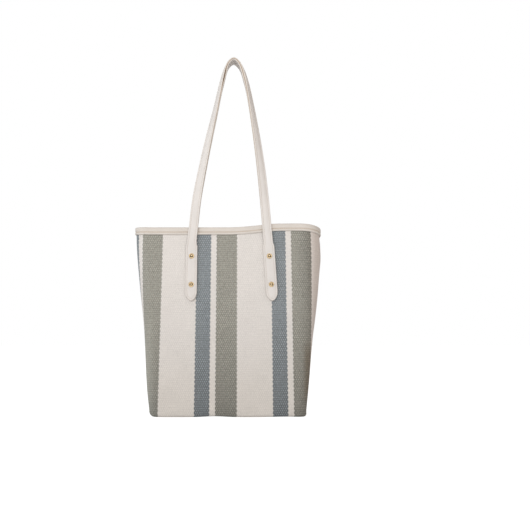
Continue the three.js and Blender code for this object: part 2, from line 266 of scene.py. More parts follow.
# Slow waves of the canvas: how far out, the run along the cloth and the climb that turn each by one radian,
# its phase, and how many times its panel's own phase is added.
WAVES = ((0.55, 29, 95, 0.0, 1), (0.38, 17, -60, 1.3, 2), (0.22, 9.5, 33, 0.4, 1))
PANEL_PHASE = {"front": 0.0, "back": 2.1}
# Swellings and hollows: how far out, then centre and reach sideways and up. Sideways is in millimetres of
# cloth for the belly and the pleat, and in shares of the half panel for the others.
BELLY = (1.1, (4, 70), (78, 60))
PLEAT = (-1.1, (133, 7.5), (84, 66))
TUCKED_LEFT = (-3.4, (-0.86, 0.17), (112, 58))
FULL_RIGHT = (2.6, (1.0, 0.3), (172, 62))
SHOULDERS = ((2.8, (1.0, 0.22), (225, 25)), (1.0, (-1.0, 0.2), (225, 25)))
PLEAT_LEAN = 0.05
PLEAT_UPRIGHT_AT = 110
# The pull of the side seams: how far and how narrow.
SEAM_PINCH = (-0.9, 0.012)
# Heights over which the foot lets the cloth go, and the binding takes hold of it and of its shoulders.
FREE_OF_FOOT = (6, 46)
HELD_BY_RIM = (214, 252)
SHOULDER_HELD = (242, 254)
# Each strap end holds the cloth flat: its reach sideways, and the heights over which it begins.
STRAP_HOLD = 19.0
STRAP_HOLD_FROM = (140, 165)


def rim_lift(panel, along, height):
    stations = np.array(RIM_LIFT[panel], float)
    offsets = np.linspace(-LIFT_SOFTNESS, LIFT_SOFTNESS, LIFT_SAMPLES)
    lift = sum(np.interp(along + o, stations[:, 0], stations[:, 1]) for o in offsets) / len(offsets)
    return lift * smooth(height, LIFT_FROM, BODY_HEIGHT - BINDING_HEIGHT)


def tab_shelter(panel, x, height):
    """1 away from the strap ends and 0 at them, where the canvas is held flat by the rivets."""
    near = sum(hump(x, place, STRAP_HOLD) for place, _ in TABS[panel].values())
    return 1 - np.clip(near, 0, 1) * smooth(height, *STRAP_HOLD_FROM)


def swelling(shape, sideways, height):
    out, across, up = shape
    return out * hump(sideways, *across) * hump(height, *up)


def slack(panel, share, along, height):
    """How far the canvas stands out of its drawn section, in millimetres."""
    waves = sum(
        out * np.sin(along / run + height / climb + phase + times * PANEL_PHASE[panel])
        for out, run, climb, phase, times in WAVES
    )
    waves = waves * tab_shelter(panel, along, height) * smooth(1 - np.abs(share), 0.0, 0.14)
    upright = along - PLEAT_LEAN * (height - PLEAT_UPRIGHT_AT)
    loose = (
        waves
        + swelling(BELLY, along, height)
        + swelling(TUCKED_LEFT, share, height)
        + swelling(FULL_RIGHT, share, height)
        + swelling(PLEAT, upright, height)
    )
    free = smooth(height, *FREE_OF_FOOT) * (1 - smooth(height, *HELD_BY_RIM))
    shoulder = sum(swelling(side, share, height) for side in SHOULDERS) * (1 - smooth(height, *SHOULDER_HELD))
    pinch = SEAM_PINCH[0] * hump(np.abs(share), 1.0, SEAM_PINCH[1]) * smooth(height, 2, 14)
    return loose * free + shoulder + pinch


# ---- canvas and lining

# Mesh columns across a panel, and rows down its wall, its foot and its half of the base.
COLUMNS = 150
WALL_ROWS = 104
FILLET_ROWS = 7
BASE_ROWS = 16
# The print's scale across and its shift to the right, at the base and at the rim.
PRINT_SHRINK = (0.986, 1.020)
PRINT_LEAN = (1.0, -0.4)
CANVAS_FOOT = 3.6
# The foot's round grows by this much towards the left corner.
LEFT_FOOT = 2.2
# Where the bottom edge stands off the floor: how far, centre and reach.
FOOT_RISES = {"front": ((1.5, -18, 20), (0.9, 78, 24)), "back": ((1.5, 22, 30),)}
# The base seam stands up a little.
BASE_SEAM_ARCH = 0.5


def fillet_at(share, fillet):
    """The round at the foot of the wall, larger at the left end."""
    return fillet * lerp(1.0, LEFT_FOOT, smooth(-share, 0.5, 0.78))


def foot_rise(panel, x, z):
    """The bottom edge stands a little off the floor between the places where the bag rests."""
    return sum(rise * hump(x, *place) for rise, *place in FOOT_RISES[panel]) * smooth(-z, -16, 2)


def lining_folds(along, height):
    """Upright folds of the loose lining, from 0 to 1. It is held at its floor and below the binding."""
    free = smooth(height, 12, 50) * (1 - smooth(height, 205, 236))
    return (0.5 + 0.5 * np.sin(along / 13 + height / 47)) * free


def half_shell(name, look, panel, inset, thickness, fillet, floor, flare=None, folds=0.0):
    """One closed sheet of cloth: the wall, the round at its foot and its half of the base."""
    share = np.linspace(-1, 1, COLUMNS + 1)[None, :]
    down = np.linspace(0, 1, WALL_ROWS + 1)[:, None]
    turn = np.linspace(0, math.pi / 2, FILLET_ROWS + 1)[1:, None]
    inward = np.linspace(0, 1, BASE_ROWS + 1)[1:, None]
    foot = fillet_at(share, fillet)
    wall = lerp(CANVAS_TOP, floor + foot, down)
    cloth_y = np.concatenate([wall, floor + foot * (1 - turn)])
    half_seam = share[0] * BASE_HALF_WIDTH * CENTRE_SEAM_SHARE
    faces = []
    for face_inset in (0.0, thickness):
        radius = foot - face_inset
        height = np.concatenate([wall, floor + foot - radius * np.sin(turn)])
        wall_inset = (flare(wall) if flare else inset) + face_inset + 0 * wall
        moved_in = np.concatenate([wall_inset, inset + foot - radius * np.cos(turn)])
        x, y, out_x, out_y, along = outline(share, height, moved_in)
        out = slack(panel, share, along, height) - folds * lining_folds(along, height)
        x, y = x + out_x * out, y + out_y * out
        z = height + rim_lift(panel, along, height)
        rise = height / BODY_HEIGHT
        cloth_x = along * lerp(*PRINT_SHRINK, rise) + lerp(*PRINT_LEAN, rise)
        far = np.hypot(x[-1] - half_seam, y[-1] + SEAM)
        x = np.concatenate([x, lerp(x[-1], half_seam, inward)])
        y = np.concatenate([y, lerp(y[-1], -SEAM, inward)])
        arch = BASE_SEAM_ARCH * hump(inward, 1.0, 0.05) if floor == 0 else 0 * inward
        z = np.concatenate([z, z[-1] + arch])
        if floor == 0:
            z = z + foot_rise(panel, x, z) * np.concatenate([0 * down + 1, 0 * turn + 1, 1 - inward])
        cloth_x = np.concatenate([cloth_x, cloth_x[-1] + 0 * inward])
        base_y = cloth_y[-1] - far * inward
        faces.append((np.stack([x, y, z], -1), np.stack([cloth_x, np.concatenate([cloth_y, base_y])], -1)))
    (outer, outer_uv), (inner, inner_uv) = faces
    points = np.concatenate([outer, inner[::-1]])
    uv = np.concatenate([outer_uv, inner_uv[::-1]])
    rows, columns = points.shape[:2]
    quads, corner_rows, corner_columns = lattice(rows, columns, closed_rows=True)
    caps = [
        [row * columns + i for row in (j, j + 1, rows - 2 - j, rows - 1 - j)]
        for i in (0, columns - 1)
        for j in range(rows // 2 - 1)
    ]
    corner_uv = np.concatenate([uv[corner_rows % rows, corner_columns], uv.reshape(-1, 2)[caps]])
    points = points.reshape(-1, 3) * (1, dict(HALVES)[panel], 1)
    return finished(name, points, quads.tolist() + caps, look, corner_uv)


def lining_inset(height):
    meets = smooth(height, LINING_MEETS_CANVAS, BODY_HEIGHT - BINDING_HEIGHT - TAB_GAP)
    return lerp(LINING_INSET, CANVAS + TAB_GAP, meets)


# ---- rim binding

# The folded strip's profile: inset from the canvas's outer face, and drop below the rim. It runs from the
# outer lip's foot, over the puffed lip, the stitched groove and the flat band, over the top and down inside.
BINDING_PROFILE = (
    (-0.28, 9.35), (-0.62, 9.72), (-1.20, 9.62), (-1.66, 9.05), (-1.80, 8.25), (-1.66, 7.45), (-1.28, 6.86),
    (-0.96, 6.52), (-0.92, 6.18), (-1.22, 5.80), (-1.42, 5.20), (-1.46, 3.80), (-1.40, 2.20), (-1.18, 1.00),
    (-0.66, 0.24), (0.20, -0.10), (1.05, -0.10), (2.10, 0.20), (2.90, 0.90), (3.22, 2.20), (3.26, 4.00),
    (3.16, 5.60), (2.86, 6.20), (3.22, 6.90), (3.46, 8.10), (3.26, 9.20), (2.80, 9.50), (2.42, 9.20),
    (2.42, 5.00), (2.42, 1.80), (1.90, 1.35), (0.20, 1.30), (-0.28, 1.70), (-0.28, 5.00),
)
# Inset and drop of the rows of stitches, outside and inside.
GROOVE = (-0.98, 6.85)
INNER_GROOVE = (2.92, 6.7)
LIP_REACH = 1.08
# The outer lip is puffed between stitches: the drop of its middle, its reach, and how far it swells.
LIP = (8.5, 1.4)
LIP_OUTSIDE = -0.8
LIP_PUFF = 0.16
STITCH_PITCH = 3.1
RING_COLUMNS = 800


def rim_points(inset, drop):
    """Points right round the rim, from the left seam by the front, at an inset and a drop that may differ
    from column to column."""
    half = RING_COLUMNS // 2
    placed = []
    for panel, side in HALVES:
        share = side * np.linspace(-1, 1, half + 1)[:-1]
        part = slice(half) if side > 0 else slice(half, None)
        moved_in, height = (v[..., part] if np.ndim(v) else v for v in (inset, BODY_HEIGHT - drop))
        x, y, _, _, along = outline(share, height, moved_in, 0.0)
        placed.append(np.stack([x, side * y, height + rim_lift(panel, along, height)], axis=-1))
    return np.concatenate(placed, axis=-2)


def rim_binding(look):
    profile = np.array(BINDING_PROFILE) * (1.0, LIP_REACH)
    ring = rim_points(0.0, 0.0)
    around = run_length(np.concatenate([ring, ring[:1]]))
    inset = np.repeat(profile[:, :1], RING_COLUMNS, axis=1)
    drop = np.repeat(profile[:, 1:], RING_COLUMNS, axis=1)
    beat = 0.5 - 0.5 * np.cos(2 * math.pi * round(around[-1] / STITCH_PITCH) * around[:-1] / around[-1])
    slow = np.sin(around[:-1] / 31) + np.sin(around[:-1] / 12.7 + 1)
    lip = hump(profile[:, 1:], *LIP) * (profile[:, :1] < LIP_OUTSIDE)
    points = rim_points(inset - lip * (LIP_PUFF * beat + 0.05 * slow), drop + lip * 0.06 * slow)
    girth = run_length(np.concatenate([profile, profile[:1]]))
    quads, corner_rows, corner_columns = lattice(*points.shape[:2], True, True)
    corner_uv = np.stack([around[corner_columns], girth[corner_rows]], axis=-1)
    return finished("rim_binding_leather", points.reshape(-1, 3), quads.tolist(), look, corner_uv)


# ---- thread

# One stitch: a short cord that dips at both ends. Rings are (place along, radius), tips are at -1 and 1.
STITCH_RINGS = ((-0.72, 0.8), (0.0, 1.0), (0.72, 0.8))
STITCH_SIDES = 6
STITCH_DIP = 0.6
# Length and width of a stitch, on the rim and on the straps.
RIM_STITCH = (2.5, 0.6)
STRAP_STITCH = (2.3, 0.62)


def stitches(name, look, places, along, out, length, width):
    """Threads at places, each along its own direction, standing out of the leather."""
    side = np.cross(out, along)
    angles = [2 * math.pi * k / STITCH_SIDES for k in range(STITCH_SIDES)]
    rings = [
        (at * length / 2, radius * width / 2 * math.cos(angle), radius * width / 2 * math.sin(angle))
        for at, radius in STITCH_RINGS
        for angle in angles
    ]
    dip = -STITCH_DIP * width
    shape = np.array(rings + [(-length / 2, 0, dip), (length / 2, 0, dip)])
    shape[:, 2] -= 0.5 * width * np.abs(2 * shape[:, 0] / length) ** 2 * (np.abs(shape[:, 0]) < length / 2)
    points = places[:, None] + shape @ np.stack([along, side, out], axis=1)
    body, _, _ = lattice(len(STITCH_RINGS), STITCH_SIDES, False, True)
    last = (len(STITCH_RINGS) - 1) * STITCH_SIDES
    tips = [(len(rings), (k + 1) % STITCH_SIDES, k) for k in range(STITCH_SIDES)]
    tips += [(len(rings) + 1, last + k, last + (k + 1) % STITCH_SIDES) for k in range(STITCH_SIDES)]
    one = body.tolist() + tips
    faces = [tuple(i + n * len(shape) for i in face) for n in range(len(places)) for face in one]
    return finished(name, points.reshape(-1, 3), faces, look)


def spaced(line, pitch):
    """Points at an even pitch along a line, with the direction of the line at each."""
    grown = run_length(line)
    count = max(1, round(grown[-1] / pitch))
    at = (np.arange(count) + 0.5) * grown[-1] / count
    ahead, behind = (sampled(line, grown, np.clip(at + o, 0, grown[-1])) for o in (0.3 * pitch, -0.3 * pitch))
    return sampled(line, grown, at), unit(ahead - behind)


def rim_stitches(look):
    places, along, out = [], [], []
    for inset, drop, facing in (GROOVE + (1.0,), INNER_GROOVE + (-1.0,)):
        both = np.concatenate([rim_points(inset, drop), rim_points(inset + facing, drop)], axis=1)
        both = np.concatenate([both, both[:1]])
        grown = run_length(both[:, :3])
        count = round(grown[-1] / STITCH_PITCH)
        at = (np.arange(count) + 0.5) * grown[-1] / count
        here, ahead = sampled(both, grown, at), sampled(both, grown, at + 0.4)
        places.append(here[:, :3])
        along.append(ahead[:, :3] - here[:, :3])
        out.append(here[:, :3] - here[:, 3:])
    places, along, out = (np.concatenate(part) for part in (places, along, out))
    return stitches("rim_binding_stitches", look, places, unit(along), unit(out), *RIM_STITCH)


# ---- strap

FACE_LEAN = math.atan((BASE_DEPTH / 2 - CANVAS_RIM_HALF_DEPTH) / WALL_HEIGHT)
FACE_UP = np.array([0, math.sin(FACE_LEAN), math.cos(FACE_LEAN)])
FACE_OUT = np.array([0, -math.cos(FACE_LEAN), math.sin(FACE_LEAN)])
# Heights of a tab's stations: its tip, its lower rivet and two places above.
TAB_STATIONS = (TAB_TIP, 181.0, 205.0, 226.0)


def tab_point(panel, hand, height, out=0.0):
    """A point of a strap end, by the height that it would have on an upright tab, and how far it is out of
    the front face."""
    x, lean = TABS[panel][hand]
    down = height - RIVET_HEIGHTS[0]
    turn = math.radians(-lean)
    up = (RIVET_HEIGHTS[0] - BASE_FILLET) / math.cos(FACE_LEAN) + down * math.cos(turn)
    return np.array([x - down * math.sin(turn), -BASE_DEPTH / 2, BASE_FILLET]) + up * FACE_UP + out * FACE_OUT


def catmull_rom(stations, steps=40):
    """A centripetal curve through the stations."""
    points = np.array(stations, float)
    points = np.concatenate([[2 * points[0] - points[1]], points, [2 * points[-1] - points[-2]]])
    line = []
    for four in zip(points[:-3], points[1:-2], points[2:-1], points[3:]):
        knots = np.cumsum([0.0] + [max(np.linalg.norm(q - p), 1e-6) ** 0.5 for p, q in zip(four, four[1:])])
        t = np.linspace(knots[1], knots[2], steps, endpoint=False)[:, None]

        def between(i, j, p, q):
            return ((knots[j] - t) * p + (t - knots[i]) * q) / (knots[j] - knots[i])

        low, middle, high = (between(k, k + 1, four[k], four[k + 1]) for k in range(3))
        line.append(between(1, 2, between(0, 2, low, middle), between(1, 3, middle, high)))
    return np.concatenate(line + [points[-2:-1]])


def strap_line(panel):
    """The centre line of a panel's strap from one tip over the crown to the other."""
    middle = TAB_GAP + STRAP_HALF_THICKNESS
    ends = {
        hand: [tab_point(panel, hand, height, middle) for height in TAB_STATIONS]
        for hand in TABS[panel]
    }
    legs = {
        side: [
            np.array([side * spread + lean, -depth, BODY_HEIGHT + rise])
            for rise, spread, lean, depth in HANDLE_STATIONS[panel]
        ]
        for side in (-1, 1)
    }
    rise, lean, depth = HANDLE_CROWN
    crown = np.array([lean, -depth, BODY_HEIGHT + rise])
    line = catmull_rom([*ends["left"], *legs[-1], crown, *legs[1][::-1], *ends["right"][::-1]])
    return line, run_length(line)


class Strap:
    """Turns strap coordinates (along, across, out) into points."""

    def __init__(self, panel):
        line, grown = strap_line(panel)
        self.length = grown[-1]
        above = np.nonzero(line[:, 2] > HANDLE_START)[0]
        start, end = grown[above[0]], grown[above[-1]]
        self.samples = np.linspace(0, self.length, STRAP_SAMPLES)
        self.centre = sampled(line, grown, self.samples)
        tangent = unit(np.gradient(self.centre, self.samples, axis=0))
        share = np.clip((self.samples - start) / (end - start), 0, 1)
        turn = lerp(share * share * (3 - 2 * share), share, TWIST_EVENNESS) * math.pi
        across = np.stack([np.cos(turn), -np.sin(turn), 0 * turn], axis=1)
        self.across = unit(across - (across * tangent).sum(1)[:, None] * tangent)
        self.out = np.cross(self.across, tangent)

    def from_crown(self, along):
        return np.abs(along - self.length / 2)

    def place(self, along, across, out):
        """Points of the strap: along from the left tip, across to the right as seen from outside, and out.
        Beside its crown the strap's two layers stand a little apart, towards the inside."""
        looser = LOOSE_LAYERS * hump(self.from_crown(along), *LOOSE_PLACE)
        out = out + (out - STRAP_HALF_THICKNESS) * looser
        centre, side, up = (sampled(t, self.samples, along) for t in (self.centre, self.across, self.out))
        return centre + np.asarray(across)[..., None] * side + np.asarray(out)[..., None] * up

    def outward(self, along):
        return unit(sampled(self.out, self.samples, along))

    def from_tip(self, along):
        """Distance from the nearer tip."""
        return np.minimum(along, self.length - along)

    def half_width(self, along):
        shoulder = TAB_SHOULDER - TAB_TIP
        narrow = smooth(self.from_tip(along), shoulder - 2.5, shoulder + 3.5)
        return lerp(TAB_HALF_WIDTH, STRAP_HALF_WIDTH, narrow)


TIP_SLANT = 1.22
TIP_POINT = 1.3
# Rows round a tip. Steps between the rows of the rest: near the crown, near the tips and between them.
TIP_ROWS = 15
CROWN_STEP = 1.1
TIP_STEP = 1.5
LEG_STEP = 2.2
NEAR_CROWN = 26
NEAR_TIP = 95


def tip_curve(t):
    """Half width of the pointed round tip, from 0 at the tip to 1 where the tab has its full width."""
    return np.sin(np.arccos(1 - t)) ** TIP_POINT


def edge_line(strap, inset, tip_rows, body_along):
    """Along and across of a line that keeps an inset from the strap's edge. It rounds both tips."""
    start = TIP_SLANT * inset
    turn = 1 - np.cos(np.linspace(0, math.pi / 2, tip_rows))
    tip_along = (start + turn * (TAB_TIP_LENGTH - start))[:-1]
    tip_across = ((TAB_HALF_WIDTH - inset) * tip_curve(turn))[:-1]
    along = np.concatenate([tip_along, body_along, (strap.length - tip_along)[::-1]])
    across = np.concatenate([tip_across, strap.half_width(body_along) - inset, tip_across[::-1]])
    return along, across


def strap_rows(strap):
    """Where the rows of the strap's mesh are, between its tips."""
    stations = [TAB_TIP_LENGTH]
    while stations[-1] < strap.length - TAB_TIP_LENGTH:
        here = stations[-1]
        at_end = strap.from_tip(here) < NEAR_TIP
        step = CROWN_STEP if strap.from_crown(here) < NEAR_CROWN else TIP_STEP if at_end else LEG_STEP
        stations.append(here + step)
    stations[-1] = strap.length - TAB_TIP_LENGTH
    return np.array(stations)


# Half of the strap's cross-section, from the middle of the outer face over the edge to the middle of the
# back: inset from the edge (or share of what is left to the middle, where over), and height.
EDGE_PROFILE = (
    (3.3, 1.62), (2.75, 1.46), (2.4, 1.16), (2.05, 1.44), (1.5, 1.66), (0.85, 1.66), (0.34, 1.50),
    (0.06, 1.12), (0.0, 0.62), (0.05, 0.24), (0.30, 0.0), (0.05, -0.24), (0.0, -0.62), (0.06, -1.08),
    (0.34, -1.40), (0.85, -1.5), (2.05, -1.5), (2.4, -1.34), (2.75, -1.5),
)
CROWNED = ((1.0, 1.98), (0.72, 1.94), (0.44, 1.84), (0.2, 1.72))
FLAT_BACK = ((0.3, -1.5), (0.65, -1.5), (1.0, -1.5))
# The profile's point in the glue line between the layers.
GLUE_POINT = EDGE_PROFILE.index((0.30, 0.0))
PRESSED_RADIUS = 5.4
# The layers of the left leg have come apart: centre and reach from the crown, and how deep the gap is.
PARTED_PLACE = (33.0, 12.5)
PARTED_DEPTH = 2.4
# The strap's stitches: inset from the edge, pitch, height on the face and on the back, and where on the back
# they begin, measured from the tips.
STITCH_INSET = 2.4
STITCHED_TIP_ROWS = 40
STRAP_STITCH_PITCH = 3.0
STITCH_LEVELS = ((1.36, 1.0, 0.0), (-1.46, -1.0, TAB_SHOULDER - TAB_TIP + 4))


def pressed(strap, along, across, height):
    """The padding is pressed down under each rivet."""
    down = sum(
        hump(np.hypot(strap.from_tip(along) - (rivet - TAB_TIP), across), 0.0, PRESSED_RADIUS)
        for rivet in RIVET_HEIGHTS
    )
    limit = np.minimum(height, STRAP_HALF_THICKNESS)
    return np.where(height > 0, lerp(height, limit, np.clip(down * 1.25, 0, 1)), height)


def parted(strap, along):
    """1 where the glued layers of the left leg have come apart near the crown, and 0 elsewhere."""
    return hump(strap.from_crown(along), *PARTED_PLACE) * (along < strap.length / 2)


def strap_leather(name, look, strap, side):
    rows = strap_rows(strap)
    inner_along, inner_across = edge_line(strap, EDGE_PROFILE[0][0], TIP_ROWS, rows)
    middle_along, _ = edge_line(strap, TAB_HALF_WIDTH, TIP_ROWS, rows)

    def inside(share):
        return lerp(inner_along, middle_along, share), lerp(inner_across, 0.0, share)

    lines = [(inside(share), height) for share, height in CROWNED]
    lines += [(edge_line(strap, inset, TIP_ROWS, rows), height) for inset, height in EDGE_PROFILE]
    lines += [(inside(share), height) for share, height in FLAT_BACK]
    along, across = (np.stack([line[k] for line, _ in lines]) for k in (0, 1))
    level = pressed(strap, along, across, np.array([height for _, height in lines])[:, None] + 0 * along)
    steps = np.hypot(np.diff(across, axis=0), np.diff(level, axis=0))
    around = np.concatenate([np.zeros((1, along.shape[1])), np.cumsum(steps, axis=0)])
    around = around - around[len(CROWNED) + GLUE_POINT]
    quads, corner_rows, corner_columns = lattice(*along.shape)
    opened = parted(strap, along)
    layer = level + np.sign(level) * 0.5 * hump(np.abs(level), 0.24, 0.1) * opened
    depth = PARTED_DEPTH * hump(level, 0.0, 0.2) * (across > 0) * opened
    points = [strap.place(along, across - depth, layer), strap.place(along, -across, layer)]
    points = np.concatenate([half.reshape(-1, 3) for half in points]) * (1, side, 1)
    faces = quads.tolist() + (quads + along.size).tolist()
    uv = np.stack([around, along], axis=-1)[corner_rows, corner_columns]
    return finished(name, points, faces, look, np.concatenate([uv, uv]), weld=2e-3)


def strap_stitches(name, look, strap, side):
    body_along = np.arange(TAB_TIP_LENGTH, strap.length - TAB_TIP_LENGTH, 1.0)
    along, across = edge_line(strap, STITCH_INSET, STITCHED_TIP_ROWS, body_along)
    line = np.stack([along, across], axis=1)
    places, directions, outs = [], [], []
    for level, facing, first in STITCH_LEVELS:
        for part in (line, line[::-1] * (1, -1)):
            at, ahead = spaced(part[strap.from_tip(part[:, 0]) >= first], STRAP_STITCH_PITCH)
            height = np.full(len(at), level)
            here, there = (strap.place(*(at + step * ahead).T, height) for step in (0.0, 0.3))
            places.append(here)
            directions.append(unit(there - here))
            outs.append(facing * strap.outward(at[:, 0]))
    flip = np.array([1, side, 1])
    places, directions, outs = (np.concatenate(part) * flip for part in (places, directions, outs))
    return stitches(name, look, places, directions, outs, *STRAP_STITCH)


# ---- rivets

# Radius and height above the canvas of a rivet: post, turned-under rim, bead, valley and dome.
RIVET_PROFILE = (
    (0.0, POST_END), (POST_RADIUS - 0.2, POST_END), (POST_RADIUS, POST_END + 0.2), (POST_RADIUS, 3.2),
    (POST_RADIUS + 0.1, 3.42), (3.2, 3.42), (3.55, 3.48), (3.74, 3.66), (3.76, 3.86), (3.66, 4.04),
    (3.42, 4.16), (3.14, 4.18), (2.92, 4.12), (2.80, 4.16), (2.74, 4.34), (2.58, 4.68), (2.30, 5.00),
    (1.90, 5.30), (1.40, 5.52), (0.75, 5.66), (0.0, 5.7),
)
RIVET_SIDES = 48


def rivet(name, look, panel, hand, height, side):
    profile = np.array(RIVET_PROFILE)
    angle = np.linspace(0, 2 * math.pi, RIVET_SIDES, endpoint=False)
    around = np.cos(angle)[None, :, None] * (1, 0, 0) + np.sin(angle)[None, :, None] * FACE_UP
    ring = profile[:, 0, None, None] * around
    points = tab_point(panel, hand, height) + ring + profile[:, 1, None, None] * FACE_OUT
    quads, _, _ = lattice(len(profile), RIVET_SIDES, False, True)
    return finished(name, points.reshape(-1, 3) * (1, side, 1), quads.tolist(), look, weld=1e-3)


# ---- materials


class Nodes:
    """A node tree, built up from small sums."""

    def __init__(self, tree):
        self.tree = tree

    def add(self, kind, *inputs, **settings):
        node = self.tree.nodes.new(kind)
        for key, value in settings.items():
            setattr(node, key, value)
        for socket, value in zip(node.inputs, inputs):
            self.put(socket, value)
        return node

    def put(self, socket, value):
        if isinstance(value, bpy.types.NodeSocket):
            self.tree.links.new(value, socket)
        elif value is not None:
            socket.default_value = value

    def math(self, operation, *values):
        return self.add("ShaderNodeMath", *values, operation=operation).outputs[0]

    def times(self, a, b):
        return self.math("MULTIPLY", a, b)

    def linear(self, value, factor, offset):
        return self.math("MULTIPLY_ADD", value, factor, offset)

    def sum(self, *terms):
        """Adds the terms up. A term that is a pair is a value and its weight."""
        total, *others = (self.times(*term) if isinstance(term, tuple) else term for term in terms)
        for value in others:
            total = self.math("ADD", total, value)
        return total

    def wave(self, value, period, phase=0.0):
        """A sine from -1 to 1."""
        return self.math("SINE", self.linear(value, 2 * math.pi / period, phase))

    def ramp(self, value, low, high, bottom=0.0, top=1.0):
        node = self.add(
            "ShaderNodeMapRange", value, low, high, bottom, top, interpolation_type="SMOOTHSTEP", clamp=True
        )
        return node.outputs[0]

    def band(self, value, low, high, soft):
        """1 between low and high, 0 outside, with soft edges."""
        rise = self.ramp(value, low - soft, low + soft)
        fall = self.ramp(value, high - soft, high + soft, 1.0, 0.0)
        return self.times(rise, fall)

    def mix(self, share, a, b, blend="MIX"):
        node = self.tree.nodes.new("ShaderNodeMix")
        node.data_type = "RGBA"
        node.blend_type = blend
        self.put(node.inputs[0], share)
        for socket, colour in zip((node.inputs[6], node.inputs[7]), (a, b)):
            self.put(socket, colour if isinstance(colour, bpy.types.NodeSocket) else (*colour, 1))
        return node.outputs[2]

    def vector(self, x=0.0, y=0.0, z=0.0):
        return self.add("ShaderNodeCombineXYZ", x, y, z).outputs[0]

    def split(self, vector):
        return self.add("ShaderNodeSeparateXYZ", vector).outputs[:]

    def toned(self, colour, tone):
        """A colour made lighter or darker."""
        return self.mix(1.0, colour, self.vector(tone, tone, tone), "MULTIPLY")

    def tinted(self, share, colour, tint):
        return self.mix(share, colour, tint, "MULTIPLY")

    def fill(self, node, **values):
        """Sets a node's inputs by name, with _ for a space. What is None is left as it is."""
        for name, value in values.items():
            self.put(node.inputs[name.replace("_", " ")], value)

    def noise(self, where, scale, detail=3.0, roughness=0.55):
        node = self.add("ShaderNodeTexNoise")
        self.fill(node, Vector=where, Scale=scale, Detail=detail, Roughness=roughness)
        return node.outputs["Fac"]


class Look(Nodes):
    """A node material."""

    def __init__(self, name, roughness, **uniform):
        self.material = bpy.data.materials.new(name)
        self.material.use_nodes = True
        super().__init__(self.material.node_tree)
        self.shader = next(n for n in self.tree.nodes if n.type == "BSDF_PRINCIPLED")
        self.fill(self.shader, Roughness=roughness, **uniform)

    def cloth(self):
        """The cloth's own coordinates in millimetres."""
        return self.split(self.add("ShaderNodeUVMap", uv_map="cloth").outputs[0])[:2]

    def place(self):
        """The point on the object, in millimetres."""
        where = self.add("ShaderNodeTexCoord").outputs["Object"]
        return self.add("ShaderNodeVectorMath", where, (MM, MM, MM), operation="MULTIPLY").outputs[0]

    def cells(self, where, scale, feature="F1"):
        node = self.add("ShaderNodeTexVoronoi", feature=feature)
        self.fill(node, Vector=where, Scale=scale)
        return node.outputs["Distance"]

    def paint(self, colour, roughness=None, height=None, depth=0.0002, strength=1.0):
        self.fill(self.shader, Base_Color=colour, Roughness=roughness)
        if height is not None:
            bump = self.add("ShaderNodeBump")
            self.fill(bump, Strength=strength, Distance=depth, Height=height)
            self.fill(self.shader, Normal=bump.outputs[0])
        return self.material


# Cloth stripes across the panel, in millimetres of cloth: where the pattern starts and its repeat.
STRIPE_START = -44.5
STRIPE_REPEAT = 106.0
BLUE_STRIPE = (0.0, 20.5)
GREEN_STRIPE = (28.4, 57.4)
STRIPE_EDGE = 0.45
ROW_PITCH = 3.0
FLOAT_PITCH = 2.8
WARP_PITCH = 0.95
CREAM = (0.695, 0.660, 0.627)
BLUE = (0.215, 0.227, 0.237)
GREEN = (0.291, 0.272, 0.236)
# Some of the dyed yarn is this much cooler.
DYE_SHIFT = (0.93, 1.01, 1.03)

# Tone over the cloth, by place across it from the middle of the front and by height up it, fitted to the
# photograph. Most of it is painted light and shade: the stripes and the cream are darker towards the bottom.
# The dyed stripes are lighter near the top and at the lower left end, and darker at the right end and the
# bottom edge. The cream is warmer low down, the right side face is darker and warmer, and there is a brown
# painted shade in the crease of the right corner. The floats show more strongly low down.
# Ranges are (from, to), and tones are (at from, at to).
# Painted light and shade by height: darker towards the bottom, and the dyed stripes lighter near the top.
DYED_HEIGHT_SHADE = ((-10.0, 190.0), (0.79, 1.08))
CREAM_HEIGHT_SHADE = ((-10.0, 250.0), (0.95, 1.0))
FLOAT_RISE = ((50.0, 240.0), (1.2, 0.8))
# Painted shade: the dyed stripes darker at the bottom edge, by the floor.
FOOT_SHADE = ((4.0, 28.0), (-0.07, 0.0))
# Painted light: the dyed stripes lighter at the left end, most low down.
LEFT_LIGHT_ACROSS = (-94.0, -116.0)
LEFT_PAINTED_LIGHT = ((40.0, 170.0), (0.44, 0.0))
# Painted shade: the dyed stripes darker at the right end, most near the top.
RIGHT_SHADE_ACROSS = (92.0, 120.0)
RIGHT_PAINTED_SHADE = ((40.0, 210.0), (-0.10, -0.31))
LOW_SHADE = (1.0, 0.99, 0.967)
LOW_UP = ((10.0, 120.0), (1.0, 0.0))
SIDE_SHADE = (0.84, 0.79, 0.76)
SIDE_ACROSS = (108.0, 128.0)
# Painted shade: a brown band in the crease where the front turns to the right side.
CORNER_SHADE = (0.80, 0.72, 0.64)
CORNER_SHADE_ACROSS = (106.0, 121.0, 5.0)
CORNER_SHADE_UP = (24.0, 96.0, 16.0)


